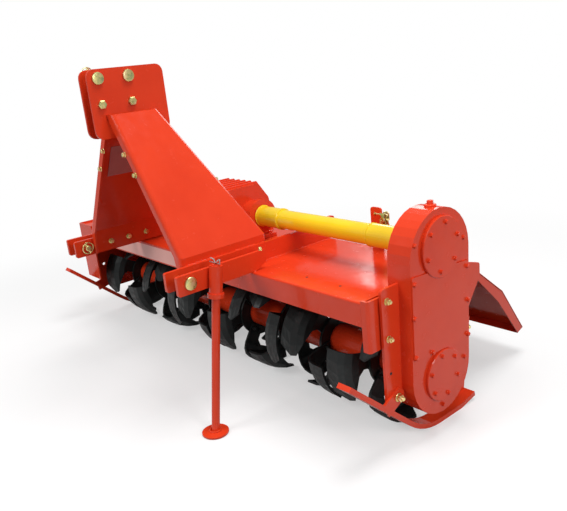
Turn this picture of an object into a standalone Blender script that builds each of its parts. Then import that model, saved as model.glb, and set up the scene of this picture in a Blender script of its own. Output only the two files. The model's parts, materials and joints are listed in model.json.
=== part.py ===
"""Rotary tiller for a three-point hitch, gear driven at its right end, standing on its skids and parking stand.

Metres, +Z up, +X towards the gearcase end, -Y towards the tractor. While the pieces are made, X = 0 is the
middle of the hitch, Y = 0 the rotor's axis and Z = 0 the floor; the last step moves the root empty so that
the origin is the bottom centre of the whole machine.
"""

from math import atan2, cos, pi, radians, sin

import bmesh
import bpy
from mathutils import Matrix, Vector

# Clearances
SEAT = 0.0003  # between pieces that are welded or bolted together
RUNNING = 0.0005  # between a turning or sliding piece and what guides it

# Rotor
ROTOR_Z = 0.1833
ROTOR_TUBE_R = 0.052
TINE_ROOT = 0.062
TINE_ROOT_WIDTH = 0.054
TINE_THICK = 0.008
TINE_BEND_FROM = 0.132
TINE_BEND_R = 0.042
TINE_BEND_TURN = 88.0
TINE_TIP_RUN = 0.046
TINE_WRAP = 0.135  # how much further the blade reaches round the rotor than its root
TINE_WRAP_FROM = 0.30
TINE_WRAP_FULL = 0.72
TINE_TIP_SLANT = 0.13
TINE_STATIONS = (0.0, 0.28, 0.40, 0.52, 0.64, 0.76, 0.88, 1.0)
TINE_COLUMNS = 6
FLANGE_R = 0.092
FLANGE_THICK = 0.010
FLANGE_COUNT = 8
FLANGE_FIRST_X = -0.752
FLANGE_LAST_X = 0.742
FLANGE_TWIST = radians(37.0)  # each tine set is turned this much from the last
TINES_A_SIDE = 3

# Hood: front beam, deck and end plates
LEFT_X = -0.906
PLATE_THICK = 0.008
DECK_TOP_Z = 0.4558
DECK_THICK = 0.005
BEAM_FRONT_Y = -0.2308
BEAM_DEPTH = 0.078
BEAM_HEIGHT = 0.069
BEAM_THICK = 0.006
BEAM_RIGHT_X = 0.858
RIDGE_Y = 0.178
DECK_REAR_Y = 0.272
DECK_REAR_Z = 0.412
LEFT_FLANGE_WIDTH = 0.124
LEFT_FLANGE_BOTTOM_Z = 0.207
POST_WIDTH = 0.025
POST_REAR_Y = -0.158
POST_BOTTOM_Z = 0.315
SPARE_HOLE_R = 0.007
END_RISE = 0.006  # how far the end plates stand above the deck
PLATE_BOTTOM_Z = 0.118
PLATE_REAR_Y = 0.308
PLATE_REAR_Z = 0.375

# Gearcase at the right end
CASE_IN_X = 0.8605
CASE_THICK = 0.0775
CASE_R = 0.1293
CASE_LOW_Z = 0.1956
CASE_HIGH_Y = 0.0090
CASE_HIGH_Z = 0.5383
DRIVE_Y = 0.0094
DRIVE_Z = 0.5599
STRIP_IN_X = 0.8880
STRIP_OUT_X = 0.8967
STRIP_FRONT_Y = -0.192
STRIP_BOTTOM_Z = 0.147
STRIP_TOP_Z = 0.486
COVER_THICK = 0.004
COVER_LOW_Z = 0.262
COVER_HIGH_Z = 0.499
COVER_TILT = 0.008
CAP_THICK = 0.009
HIGH_CAP_R = 0.086
LOW_CAP_R = 0.078

# Drive tube and middle gearbox
TUBE_R = 0.0325
SLEEVE_R = 0.0355
TUBE_LEFT_X = 0.172
SLEEVE_END_X = 0.286
RIGHT_SLEEVE_X = 0.690
BOX_HALF_X = 0.106
BOX_FRONT_Y = -0.130
BOX_REAR_Y = 0.096
BOX_TOP_Z = 0.664
BOX_CORNER = 0.030
NECK_R = 0.050
NECK_FLANGE_R = 0.060
NECK_FLANGE_THICK = 0.014
INPUT_CAP_R = 0.055
INPUT_CAP_THICK = 0.018
INPUT_SHAFT_R = 0.0175
INPUT_SHAFT_LENGTH = 0.095

# Hitch
BALL_SPREAD = 0.718  # between the middles of the two lower clevises
CLEVIS_GAP = 0.0529
BAR_THICK = 0.012
BAR_HEIGHT = 0.061
BAR_FRONT_Y = -0.500
OUTER_BAR_REAR_Y = -0.170
LONG_BAR_REAR_Y = 0.205
LONG_BAR_RISE = 0.018
LONG_BAR_RISE_Y = 0.070  # behind the drive tube, which the bar passes under
LOWER_PIN_Y = -0.4568
LOWER_PIN_Z = 0.4884
LOWER_PIN_R = 0.011
LOWER_HEAD_R = 0.020
HEAD_THICK = 0.008
MAST_WIDTH = 0.0616
MAST_THICK = 0.008
MAST_FRONT_Y = -0.4958
MAST_REAR_Y = -0.2293
MAST_LOW_Z = 0.9001
MAST_HIGH_Z = 1.1142
MAST_CORNER = 0.026
MAST_HOLE_YS = (-0.4603, -0.3563)
TOP_PIN_Z = 1.0860
TOP_PIN_R = 0.0095
TOP_HEAD_R = 0.019
MAST_BOLT_Z = 1.0063
MAST_BOLT_R = 0.008
MAST_BOLT_HEAD_R = 0.015

# A-frame arms: bent plates from the long hitch bars up to the mast plates
ARM_TOP_X = 0.0708
ARM_TOP_Z = 0.9740
ARM_TOP_YS = {"right": (-0.4531, -0.2900), "left": (-0.4180, -0.2900)}
ARM_LOW_Z = 0.5411
ARM_LOW_YS = (-0.4328, -0.1000)
ARM_FOOT_Z = 0.4600
ARM_THICK = 0.007
ARM_FLANGE = 0.040
ARM_BEND = 0.016

# Parking stand
STAND_LEAN = radians(9.1)  # the foot stands forward of the socket
STAND_LEG_R = 0.013
STAND_SOCKET_R = 0.0205
STAND_COLLAR_R = 0.0255
STAND_COLLAR_HEIGHT = 0.012
STAND_TOP_Y = -0.374
STAND_TOP_Z = 0.524
STAND_SOCKET_LENGTH = 0.086
STAND_FOOT_R = 0.042
STAND_FOOT_THICK = 0.010

# Skids
SKID_THICK = 0.015
SKID_WIDTH = 0.046
SKID_TIP = (-0.342, 0.258)
SKID_TOE_Y = -0.052
SKID_HEEL = (0.205, 0.014)
SKID_TOE_R = 0.210
RIGHT_SKID_OUT_X = 0.9052
LEFT_SKID_IN_X = -0.868
LEG_THICK = 0.008
LEG_WIDTH = 0.044
RIGHT_LEG_TOP = (-0.152, 0.166)
LEFT_LEG_TOP = (-0.165, 0.150)
LEG_FOOT_Y = -0.205
REAR_LEG_Y = 0.180
REAR_LEG_TOP = (0.220, 0.262)
REAR_LEG_WIDTH = 0.034

# Tailgate and its chains
HINGE_Y = 0.291
HINGE_Z = 0.405
HINGE_ROD_R = 0.006
GATE_KINK = (0.462, 0.272)
GATE_TIP = (0.590, 0.096)
GATE_THICK = 0.004
GATE_SIDE_GAP = 0.008
LUG_R = 0.015
LUG_THICK = 0.010
LUG_XS = (-0.70, -0.02, 0.66)
BRACKET_XS = (0.574, -0.574)
BRACKET_WIDTH = 0.046
BRACKET_THICK = 0.006
BRACKET_Y = 0.160
BRACKET_TOP_Z = 0.598
CHAIN_WIDTH = 0.016
CHAIN_LENGTH = 0.085

# Derived places
BEAM_LEFT_X = LEFT_X + PLATE_THICK + SEAT
RIGHT_PLATE_OUT_X = CASE_IN_X - SEAT
RIGHT_PLATE_IN_X = RIGHT_PLATE_OUT_X - PLATE_THICK
CASE_OUT_X = CASE_IN_X + CASE_THICK
CLEVIS_X = BALL_SPREAD / 2
OUTER_BAR_IN_X = CLEVIS_X + CLEVIS_GAP / 2
OUTER_BAR_OUT_X = OUTER_BAR_IN_X + BAR_THICK
LONG_BAR_OUT_X = CLEVIS_X - CLEVIS_GAP / 2
LONG_BAR_IN_X = LONG_BAR_OUT_X - BAR_THICK
BAR_LOW_Z = DECK_TOP_Z + SEAT
MAST_OUT_X = MAST_WIDTH / 2
MAST_IN_X = MAST_OUT_X - MAST_THICK
ROTOR_AXIS = Vector((0, 0, ROTOR_Z))
HINGE_AXIS = Vector((0, HINGE_Y, HINGE_Z))
INPUT_AXIS = Vector((0, BOX_FRONT_Y, DRIVE_Z))
STAND_X = OUTER_BAR_OUT_X + SEAT + STAND_SOCKET_R
STAND_TOP = Vector((STAND_X, STAND_TOP_Y, STAND_TOP_Z))

ROUND = 32  # sides of a large round piece
SMALL_ROUND = 16  # sides of a pin or rod

PAINT = (0.72, 0.060, 0.022)
BLACK = (0.012, 0.014, 0.015)
YELLOW = (0.86, 0.62, 0.010)
ZINC = (0.62, 0.56, 0.28)


def clear_scene():
    for old in list(bpy.data.objects):
        bpy.data.objects.remove(old)


def material(name, colour, roughness, metallic=0.0):
    made = bpy.data.materials.new(name)
    made.use_nodes = True
    shader = made.node_tree.nodes["Principled BSDF"]
    shader.inputs["Base Color"].default_value = (*colour, 1.0)
    shader.inputs["Roughness"].default_value = roughness
    shader.inputs["Metallic"].default_value = metallic
    return made


# Outlines are lists of (a, b) points, counter-clockwise seen from the far end of their axis.
PLANES = {"X": (1, 2, 0), "Y": (2, 0, 1), "Z": (0, 1, 2)}


def arc(centre, radius, start, end, steps):
    """Points on a circle from one angle to another, in degrees."""
    angles = [radians(start + (end - start) * i / steps) for i in range(steps + 1)]
    return [(centre[0] + radius * cos(a), centre[1] + radius * sin(a)) for a in angles]


def circle(centre, radius, sides=ROUND):
    return arc(centre, radius, 0, 360, sides)[:-1]


def rounded(points, radius, steps=4):
    """A closed outline with each corner turned into an arc. The radius is one number or one for each corner."""
    radii = radius if isinstance(radius, (list, tuple)) else [radius] * len(points)
    result = []
    for i, corner in enumerate(points):
        here = Vector(corner)
        back = (Vector(points[i - 1]) - here).normalized()
        on = (Vector(points[(i + 1) % len(points)]) - here).normalized()
        if radii[i] == 0:
            result.append(tuple(here))
            continue
        half = back.angle(on) / 2
        middle = here + (back + on).normalized() * (radii[i] / sin(half))
        first = here + back * (radii[i] / sin(half)) * cos(half) - middle
        turn = (pi - 2 * half) * (1 if back.cross(on) < 0 else -1)
        for step in range(steps + 1):
            spun = Matrix.Rotation(turn * step / steps, 2) @ first
            result.append(tuple(middle + spun))
    return result


def sheet(path, thick):
    """The outline of a bent sheet: its path, and the same path offset to the left by its thickness."""

    def offset(points, distance):
        shifted = []
        for i, point in enumerate(points):
            before = (Vector(point) - Vector(points[max(i - 1, 0)])).normalized()
            after = (Vector(points[min(i + 1, len(points) - 1)]) - Vector(point)).normalized()
            mean = (before + after).normalized()
            side = Vector((-mean.y, mean.x))
            stretch = max(0.3, (before.dot(mean) if before.length else after.dot(mean)))
            shifted.append(tuple(Vector(point) + side * distance / stretch))
        return shifted

    return path + offset(path, thick)[::-1]


def new_object(name, mesh, skin, pivot=None):
    """Links the mesh under the root, with its origin at the pivot if it turns or slides."""
    made = bpy.data.objects.new(name, mesh)
    bpy.context.scene.collection.objects.link(made)
    made.parent = ROOT
    if pivot is not None:
        mesh.transform(Matrix.Translation(-pivot))
        made.location = pivot
    if not mesh.materials:
        mesh.materials.append(skin)
    mesh.shade_smooth()
    mesh.set_sharp_from_angle(angle=radians(35))
    return made


def prism_mesh(outline, axis, low, high):
    """The outline, in the plane across the axis, carried along the axis from low to high."""
    first, second, along = PLANES[axis]
    shape = bmesh.new()
    ends = []
    for distance in (low, high):
        ring = []
        for point in outline:
            place = [0.0, 0.0, 0.0]
            place[first], place[second], place[along] = point[0], point[1], distance
            ring.append(shape.verts.new(place))
        ends.append(ring)
    shape.faces.new(ends[0][::-1])
    shape.faces.new(ends[1])
    for i in range(len(outline)):
        j = (i + 1) % len(outline)
        shape.faces.new((ends[0][i], ends[0][j], ends[1][j], ends[1][i]))
    bmesh.ops.recalc_face_normals(shape, faces=shape.faces)
    mesh = bpy.data.meshes.new("shape")
    shape.to_mesh(mesh)
    shape.free()
    return mesh


def prism(name, outline, axis, low, high, skin, pivot=None):
    return new_object(name, prism_mesh(outline, axis, low, high), skin, pivot)


def turned(name, profile, axis, centre, skin, sides=ROUND, pivot=None):
    """A capped solid of revolution from (distance along the axis, radius) pairs, about a line along the axis."""
    first, second, along = PLANES[axis]
    shape = bmesh.new()
    rings = []
    for distance, radius in profile:
        ring = []
        for a, b in circle(centre, radius, sides):
            place = [0.0, 0.0, 0.0]
            place[first], place[second], place[along] = a, b, distance
            ring.append(shape.verts.new(place))
        rings.append(ring)
    for low, high in zip(rings, rings[1:]):
        for i in range(sides):
            j = (i + 1) % sides
            shape.faces.new((low[i], low[j], high[j], high[i]))
    shape.faces.new(rings[0][::-1])
    shape.faces.new(rings[-1])
    bmesh.ops.recalc_face_normals(shape, faces=shape.faces)
    mesh = bpy.data.meshes.new(name)
    shape.to_mesh(mesh)
    shape.free()
    return new_object(name, mesh, skin, pivot)


def helper(source):
    """Hides a shape that only cuts or is only joined to another."""
    source.hide_render = True
    source.display_type = "WIRE"
    return source


def combine(target, operation, others):
    for other in others:
        helper(other)
        change = target.modifiers.new(other.name, "BOOLEAN")
        change.operation = operation
        change.object = other
    return target


def fuse(target, *others):
    return combine(target, "UNION", others)


def cut(target, *others):
    return combine(target, "DIFFERENCE", others)


def baked(source):
    """The shape that the modifiers give, as a mesh of its own; the source and its helpers are removed."""
    graph = bpy.context.evaluated_depsgraph_get()
    mesh = bpy.data.meshes.new_from_object(source.evaluated_get(graph))
    for change in source.modifiers:
        bpy.data.objects.remove(change.object)
    bpy.data.objects.remove(source)
    return mesh


def rod_hole(axis, centre, radius, low, high):
    return prism("cutter", circle(centre, radius, SMALL_ROUND), axis, low, high, PAINT_SKIN)


def both_sides(build):
    """Calls build(side word, sign) for the right side and the left side."""
    for side, sign in (("right", 1), ("left", -1)):
        build(side, sign)


def span(sign, near, far):
    """A low and high X for a piece that lies between these distances from the middle, on one side."""
    return (near, far) if sign > 0 else (-far, -near)


# Rotor


def tine_path(share):
    """(distance from the flange's middle, radius) along a tine: out from the flange, then bent sideways."""
    straight = TINE_BEND_FROM - TINE_ROOT
    swing = TINE_BEND_R * radians(TINE_BEND_TURN)
    run = share * (straight + swing + TINE_TIP_RUN)
    start = (FLANGE_THICK + TINE_THICK) / 2 - 2 * RUNNING
    if run <= straight:
        return Vector((start, TINE_ROOT + run))
    angle = min((run - straight) / TINE_BEND_R, radians(TINE_BEND_TURN))
    rest = max(0.0, run - straight - swing)
    along = Vector((sin(angle), cos(angle)))
    bent = Vector((start + TINE_BEND_R * (1 - cos(angle)), TINE_BEND_FROM + TINE_BEND_R * sin(angle)))
    return bent + along * rest


def tine_edges(share):
    """How far a tine reaches round the rotor at this share of its length: its leading and trailing edges."""
    wrapped = min(1.0, max(0.0, (share - TINE_WRAP_FROM) / (TINE_WRAP_FULL - TINE_WRAP_FROM)))
    wrapped = wrapped * wrapped * (3 - 2 * wrapped)
    slant = max(0.0, share - TINE_WRAP_FULL) * TINE_TIP_SLANT
    return -TINE_ROOT_WIDTH / 2 - TINE_WRAP * wrapped + slant, TINE_ROOT_WIDTH / 2


def tine_mesh(side):
    """One tine: a strap that leaves the flange, then bends to one side into a wide blade round the rotor."""
    shape = bmesh.new()
    rings = []
    for share in TINE_STATIONS:
        here = tine_path(share)
        along = (tine_path(min(share + 0.02, 1.0)) - tine_path(max(share - 0.02, 0.0))).normalized()
        normal = Vector((-along.y, along.x))
        leading, trailing = tine_edges(share)
        ring = []
        for sign in (1, -1):
            for column in range(TINE_COLUMNS)[::sign]:
                offset = leading + (trailing - leading) * column / (TINE_COLUMNS - 1)
                place = here + normal * sign * TINE_THICK / 2
                angle = offset / here.y
                ring.append(shape.verts.new((side * place.x, place.y * sin(angle), place.y * cos(angle))))
        rings.append(ring)
    count = len(rings[0])
    for low, high in zip(rings, rings[1:]):
        for i in range(count):
            j = (i + 1) % count
            shape.faces.new((low[i], low[j], high[j], high[i]))
    for end in (rings[0], rings[-1]):
        for column in range(TINE_COLUMNS - 1):
            corners = (end[column], end[column + 1], end[count - 2 - column], end[count - 1 - column])
            shape.faces.new(corners)
    bmesh.ops.recalc_face_normals(shape, faces=shape.faces)
    mesh = bpy.data.meshes.new("tine")
    shape.to_mesh(mesh)
    shape.free()
    return mesh


def tine_set_mesh():
    """A flange with its tines, three bent to each side, centred on the rotor's axis at X = 0."""
    half = FLANGE_THICK / 2
    flange = prism("flange", circle((0, 0), FLANGE_R), "X", -half, half, BLADE_SKIN)
    tines = []
    for side in (1, -1):
        for i in range(TINES_A_SIDE):
            turn = 2 * pi * (i + (0.5 if side < 0 else 0.0)) / TINES_A_SIDE
            mesh = tine_mesh(side)
            mesh.transform(Matrix.Rotation(turn, 4, "X"))
            tines.append(new_object("tine", mesh, BLADE_SKIN))
    fuse(flange, *tines)
    bore = prism("bore", circle((0, 0), ROTOR_TUBE_R + SEAT), "X", -FLANGE_THICK, FLANGE_THICK, BLADE_SKIN)
    cut(flange, bore)
    return baked(flange)


def build_rotor():
    profile = [
        (LEFT_X + PLATE_THICK + 0.030 + RUNNING, ROTOR_TUBE_R),
        (CASE_IN_X - RUNNING, ROTOR_TUBE_R),
    ]
    turned("rotor_shaft", profile, "X", (0, ROTOR_Z), PAINT_SKIN, pivot=ROTOR_AXIS)
    shared = tine_set_mesh()
    pitch = (FLANGE_LAST_X - FLANGE_FIRST_X) / (FLANGE_COUNT - 1)
    for i in range(FLANGE_COUNT):
        tine_set = new_object(f"tine_set_{i + 1}", shared, BLADE_SKIN)
        tine_set.location = (FLANGE_FIRST_X + pitch * i, 0, ROTOR_Z)
        tine_set.rotation_euler = (FLANGE_TWIST * i, 0, 0)


# Hood


def build_beam_and_deck():
    back = BEAM_FRONT_Y + BEAM_DEPTH
    angle = [
        (BEAM_FRONT_Y, DECK_TOP_Z - BEAM_HEIGHT),
        (BEAM_FRONT_Y, DECK_TOP_Z),
        (back, DECK_TOP_Z),
        (back, DECK_TOP_Z - BEAM_THICK),
        (BEAM_FRONT_Y + BEAM_THICK, DECK_TOP_Z - BEAM_THICK),
        (BEAM_FRONT_Y + BEAM_THICK, DECK_TOP_Z - BEAM_HEIGHT),
    ]
    outline = rounded(angle, [0, 0.005, 0, 0, 0, 0])
    prism("front_beam", outline, "X", BEAM_LEFT_X, BEAM_RIGHT_X - SEAT, PAINT_SKIN)
    path = [(back + SEAT, DECK_TOP_Z), (RIDGE_Y, DECK_TOP_Z), (DECK_REAR_Y, DECK_REAR_Z)]
    outline = sheet(path, -DECK_THICK)
    prism("deck", outline, "X", BEAM_LEFT_X, RIGHT_PLATE_IN_X - SEAT, PAINT_SKIN)


def build_left_end():
    top = DECK_TOP_Z + END_RISE
    outline = rounded(
        [
            (BEAM_FRONT_Y, LEFT_FLANGE_BOTTOM_Z),
            (-0.135, PLATE_BOTTOM_Z),
            (0.120, PLATE_BOTTOM_Z),
            (PLATE_REAR_Y, PLATE_REAR_Z),
            (PLATE_REAR_Y, DECK_REAR_Z + 0.006),
            (RIDGE_Y, top),
            (BEAM_FRONT_Y - BEAM_THICK - SEAT, top),
            (BEAM_FRONT_Y - BEAM_THICK - SEAT, LEFT_FLANGE_BOTTOM_Z),
        ],
        [0, 0.03, 0.03, 0.03, 0.01, 0.02, 0.008, 0],
    )
    plate = prism("left_end_plate", outline, "X", LEFT_X, LEFT_X + PLATE_THICK, PAINT_SKIN)
    front = BEAM_FRONT_Y - SEAT
    flange = [
        (LEFT_X + 0.001, front - BEAM_THICK),
        (LEFT_X + LEFT_FLANGE_WIDTH, front - BEAM_THICK),
        (LEFT_X + LEFT_FLANGE_WIDTH, front),
        (LEFT_X + 0.001, front),
    ]
    fuse(plate, prism("flange", flange, "Z", LEFT_FLANGE_BOTTOM_Z, top - 0.001, PAINT_SKIN))
    cut(plate, rod_hole("X", (-0.158, 0.241), SPARE_HOLE_R, LEFT_X - 0.01, LEFT_X + PLATE_THICK + 0.01))
    housing = [
        (LEFT_X + PLATE_THICK + SEAT, 0.068),
        (LEFT_X + PLATE_THICK + 0.012, 0.068),
        (LEFT_X + PLATE_THICK + 0.014, 0.060),
        (LEFT_X + PLATE_THICK + 0.030, 0.060),
    ]
    turned("left_bearing_housing", housing, "X", (0, ROTOR_Z), PAINT_SKIN)
    cap = [
        (LEFT_X - 0.028, 0.036),
        (LEFT_X - 0.020, 0.044),
        (LEFT_X - 0.010, 0.046),
        (LEFT_X - 0.009, 0.060),
        (LEFT_X - SEAT, 0.060),
    ]
    turned("left_bearing_cap", cap, "X", (0, ROTOR_Z), PAINT_SKIN)


def build_right_end():
    top = DECK_TOP_Z
    outline = rounded(
        [
            (BEAM_FRONT_Y + BEAM_DEPTH, DECK_TOP_Z - 0.12),
            (-0.110, PLATE_BOTTOM_Z),
            (0.115, PLATE_BOTTOM_Z),
            (PLATE_REAR_Y, PLATE_REAR_Z),
            (PLATE_REAR_Y, DECK_REAR_Z + 0.006),
            (RIDGE_Y, top),
            (BEAM_FRONT_Y + BEAM_DEPTH, top),
        ],
        [0.02, 0.03, 0.03, 0.03, 0.01, 0.02, 0.0],
    )
    plate = prism("right_end_plate", outline, "X", RIGHT_PLATE_IN_X, RIGHT_PLATE_OUT_X, PAINT_SKIN)
    shaft_hole = circle((0, ROTOR_Z), ROTOR_TUBE_R + 0.008)
    cut(plate, prism("hole", shaft_hole, "X", RIGHT_PLATE_IN_X - 0.01, RIGHT_PLATE_OUT_X + 0.01, PAINT_SKIN))
    out = BEAM_RIGHT_X + POST_WIDTH
    post = [
        (BEAM_RIGHT_X, BEAM_FRONT_Y),
        (out, BEAM_FRONT_Y),
        (out, POST_REAR_Y),
        (out - PLATE_THICK, POST_REAR_Y),
        (out - PLATE_THICK, BEAM_FRONT_Y + PLATE_THICK),
        (BEAM_RIGHT_X, BEAM_FRONT_Y + PLATE_THICK),
    ]
    bent = rounded(post, [0, 0.010, 0, 0, 0, 0])
    prism("corner_post", bent, "Z", POST_BOTTOM_Z, DECK_TOP_Z + END_RISE, PAINT_SKIN)


# Gearcase


def build_gearcase():
    upper = arc((CASE_HIGH_Y, CASE_HIGH_Z), CASE_R, 0, 180, ROUND // 2)
    lower = arc((0, CASE_LOW_Z), CASE_R, 180, 360, ROUND // 2)
    case = prism("gearcase", upper + lower, "X", CASE_IN_X, CASE_OUT_X, PAINT_SKIN)
    strip = rounded(
        [
            (STRIP_FRONT_Y, STRIP_BOTTOM_Z),
            (-0.090, STRIP_BOTTOM_Z),
            (-0.090, STRIP_TOP_Z),
            (STRIP_FRONT_Y, STRIP_TOP_Z),
        ],
        [0.004, 0.0, 0.0, 0.012],
    )
    fuse(case, prism("strip", strip, "X", STRIP_IN_X, STRIP_OUT_X, PAINT_SKIN))
    face = CASE_OUT_X + SEAT
    edge = CASE_R - 0.004
    cover_outline = [
        (-edge + 0.002, COVER_LOW_Z + COVER_TILT),
        (edge, COVER_LOW_Z - COVER_TILT),
        (edge + 0.004, COVER_HIGH_Z - COVER_TILT),
        (-edge + 0.006, COVER_HIGH_Z + COVER_TILT),
    ]
    cover = prism("gearcase_cover", rounded(cover_outline, 0.004), "X", face, face + COVER_THICK, PAINT_SKIN)
    for y, z, radius in ((DRIVE_Y, DRIVE_Z, HIGH_CAP_R), (0, ROTOR_Z, LOW_CAP_R)):
        room = circle((y, z), radius + SEAT)
        cut(cover, prism("cap_room", room, "X", face - 0.01, face + COVER_THICK + 0.01, PAINT_SKIN))
    for name, y, z, radius in (
        ("upper_bearing_cap", DRIVE_Y, DRIVE_Z, HIGH_CAP_R),
        ("lower_bearing_cap", 0, ROTOR_Z, LOW_CAP_R),
    ):
        profile = [
            (face, radius),
            (face + CAP_THICK - 0.002, radius),
            (face + CAP_THICK, radius - 0.002),
        ]
        turned(name, profile, "X", (y, z), PAINT_SKIN)


# Drive from the middle


def build_gearbox():
    low = DECK_TOP_Z + SEAT
    corner = BOX_CORNER
    side = [
        (BOX_FRONT_Y, low),
        (BOX_REAR_Y, low),
        (BOX_REAR_Y, BOX_TOP_Z - 0.060),
        (BOX_REAR_Y - 0.045, BOX_TOP_Z),
        (BOX_FRONT_Y + 0.045, BOX_TOP_Z),
        (BOX_FRONT_Y, BOX_TOP_Z - 0.060),
    ]
    outline = rounded(side, [0.004, 0.004, corner, corner, corner, corner])
    body = prism("gearbox", outline, "X", -BOX_HALF_X, BOX_HALF_X, PAINT_SKIN)
    neck_profile = [(0.050, NECK_R), (TUBE_LEFT_X - SEAT - 0.004, NECK_R)]
    neck = turned("neck", neck_profile, "X", (DRIVE_Y, DRIVE_Z), PAINT_SKIN)
    start = TUBE_LEFT_X - SEAT - NECK_FLANGE_THICK
    flange_profile = [(start, NECK_FLANGE_R), (TUBE_LEFT_X - SEAT, NECK_FLANGE_R)]
    flange = turned("flange", flange_profile, "X", (DRIVE_Y, DRIVE_Z), PAINT_SKIN)
    fuse(body, neck, flange)
    cap = [(-BOX_HALF_X - 0.016, NECK_R), (-BOX_HALF_X - SEAT, NECK_FLANGE_R)]
    turned("gearbox_left_cap", cap, "X", (DRIVE_Y, DRIVE_Z), PAINT_SKIN)
    front = BOX_FRONT_Y - INPUT_CAP_THICK
    cap = [(front, INPUT_CAP_R - 0.004), (front + 0.004, INPUT_CAP_R), (BOX_FRONT_Y - SEAT, INPUT_CAP_R)]
    turned("input_bearing_cap", cap, "Y", (DRIVE_Z, 0), PAINT_SKIN)
    shaft = [
        (front - RUNNING - INPUT_SHAFT_LENGTH, INPUT_SHAFT_R - 0.002),
        (front - RUNNING - INPUT_SHAFT_LENGTH + 0.002, INPUT_SHAFT_R),
        (front - RUNNING - 0.060, INPUT_SHAFT_R),
        (front - RUNNING - 0.058, INPUT_SHAFT_R - 0.003),
        (front - RUNNING - 0.050, INPUT_SHAFT_R - 0.003),
        (front - RUNNING - 0.048, INPUT_SHAFT_R),
        (front - RUNNING, INPUT_SHAFT_R),
    ]
    turned("input_shaft", shaft, "Y", (DRIVE_Z, 0), STEEL_SKIN, pivot=INPUT_AXIS)


def build_drive_tube():
    profile = [
        (TUBE_LEFT_X, SLEEVE_R),
        (SLEEVE_END_X - 0.012, SLEEVE_R),
        (SLEEVE_END_X - 0.010, SLEEVE_R + 0.002),
        (SLEEVE_END_X - 0.004, SLEEVE_R + 0.002),
        (SLEEVE_END_X, TUBE_R),
        (RIGHT_SLEEVE_X, TUBE_R),
        (RIGHT_SLEEVE_X + 0.006, SLEEVE_R),
        (CASE_IN_X - SEAT, SLEEVE_R),
    ]
    turned("drive_tube", profile, "X", (DRIVE_Y, DRIVE_Z), YELLOW_SKIN)


# Hitch


def build_hitch_side(side, sign):
    top = BAR_LOW_Z + BAR_HEIGHT
    rear = LONG_BAR_REAR_Y
    outer = rounded(
        [
            (BAR_FRONT_Y, BAR_LOW_Z),
            (OUTER_BAR_REAR_Y - 0.045, BAR_LOW_Z),
            (OUTER_BAR_REAR_Y, BAR_LOW_Z + 0.020),
            (OUTER_BAR_REAR_Y, top),
            (BAR_FRONT_Y, top),
        ],
        [0.006, 0.0, 0.004, 0.004, 0.006],
    )
    long = rounded(
        [
            (BAR_FRONT_Y, BAR_LOW_Z),
            (RIDGE_Y - 0.004, BAR_LOW_Z),
            (rear, BAR_LOW_Z + 0.010),
            (rear, top + LONG_BAR_RISE),
            (LONG_BAR_RISE_Y + 0.030, top + LONG_BAR_RISE),
            (LONG_BAR_RISE_Y, top),
            (BAR_FRONT_Y, top),
        ],
        [0.006, 0.0, 0.004, 0.010, 0.010, 0.010, 0.006],
    )
    for name, shape, near, far in (
        (f"hitch_bar_outer_{side}", outer, OUTER_BAR_IN_X, OUTER_BAR_OUT_X),
        (f"hitch_bar_long_{side}", long, LONG_BAR_IN_X, LONG_BAR_OUT_X),
    ):
        low, high = span(sign, near, far)
        bar = prism(name, shape, "X", low, high, PAINT_SKIN)
        hole = (LOWER_PIN_Y, LOWER_PIN_Z)
        cut(bar, rod_hole("X", hole, LOWER_PIN_R + SEAT, low - 0.01, high + 0.01))
    profile = [
        (LONG_BAR_IN_X - 0.022, LOWER_PIN_R),
        (OUTER_BAR_OUT_X + SEAT, LOWER_PIN_R),
        (OUTER_BAR_OUT_X + SEAT, LOWER_HEAD_R),
        (OUTER_BAR_OUT_X + SEAT + HEAD_THICK, LOWER_HEAD_R),
    ]
    if sign < 0:
        profile = [(-distance, radius) for distance, radius in profile[::-1]]
    turned(f"lower_hitch_pin_{side}", profile, "X", (LOWER_PIN_Y, LOWER_PIN_Z), ZINC_SKIN, SMALL_ROUND)


def build_mast():
    outline = rounded(
        [
            (MAST_FRONT_Y, MAST_LOW_Z),
            (MAST_REAR_Y, MAST_LOW_Z),
            (MAST_REAR_Y, MAST_HIGH_Z),
            (MAST_FRONT_Y, MAST_HIGH_Z),
        ],
        MAST_CORNER,
    )

    def plate(side, sign):
        low, high = span(sign, MAST_IN_X, MAST_OUT_X)
        made = prism(f"mast_plate_{side}", outline, "X", low, high, PAINT_SKIN)
        for y in MAST_HOLE_YS:
            cut(made, rod_hole("X", (y, TOP_PIN_Z), TOP_PIN_R + SEAT, low - 0.01, high + 0.01))
            cut(made, rod_hole("X", (y, MAST_BOLT_Z), MAST_BOLT_R + SEAT, low - 0.01, high + 0.01))

    both_sides(plate)
    for place, y in zip(("front", "rear"), MAST_HOLE_YS):
        end = MAST_OUT_X + 0.016
        head = MAST_OUT_X + SEAT
        pin = [(-end, TOP_PIN_R), (head, TOP_PIN_R), (head, TOP_HEAD_R), (head + HEAD_THICK, TOP_HEAD_R)]
        turned(f"top_pin_{place}", pin, "X", (y, TOP_PIN_Z), ZINC_SKIN, SMALL_ROUND)
        bolt = [
            (-head - HEAD_THICK, MAST_BOLT_HEAD_R),
            (-head, MAST_BOLT_HEAD_R),
            (-head, MAST_BOLT_R),
            (head, MAST_BOLT_R),
            (head, MAST_BOLT_HEAD_R),
            (head + HEAD_THICK, MAST_BOLT_HEAD_R),
        ]
        turned(f"mast_bolt_{place}", bolt, "X", (y, MAST_BOLT_Z), ZINC_SKIN, SMALL_ROUND)


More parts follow.
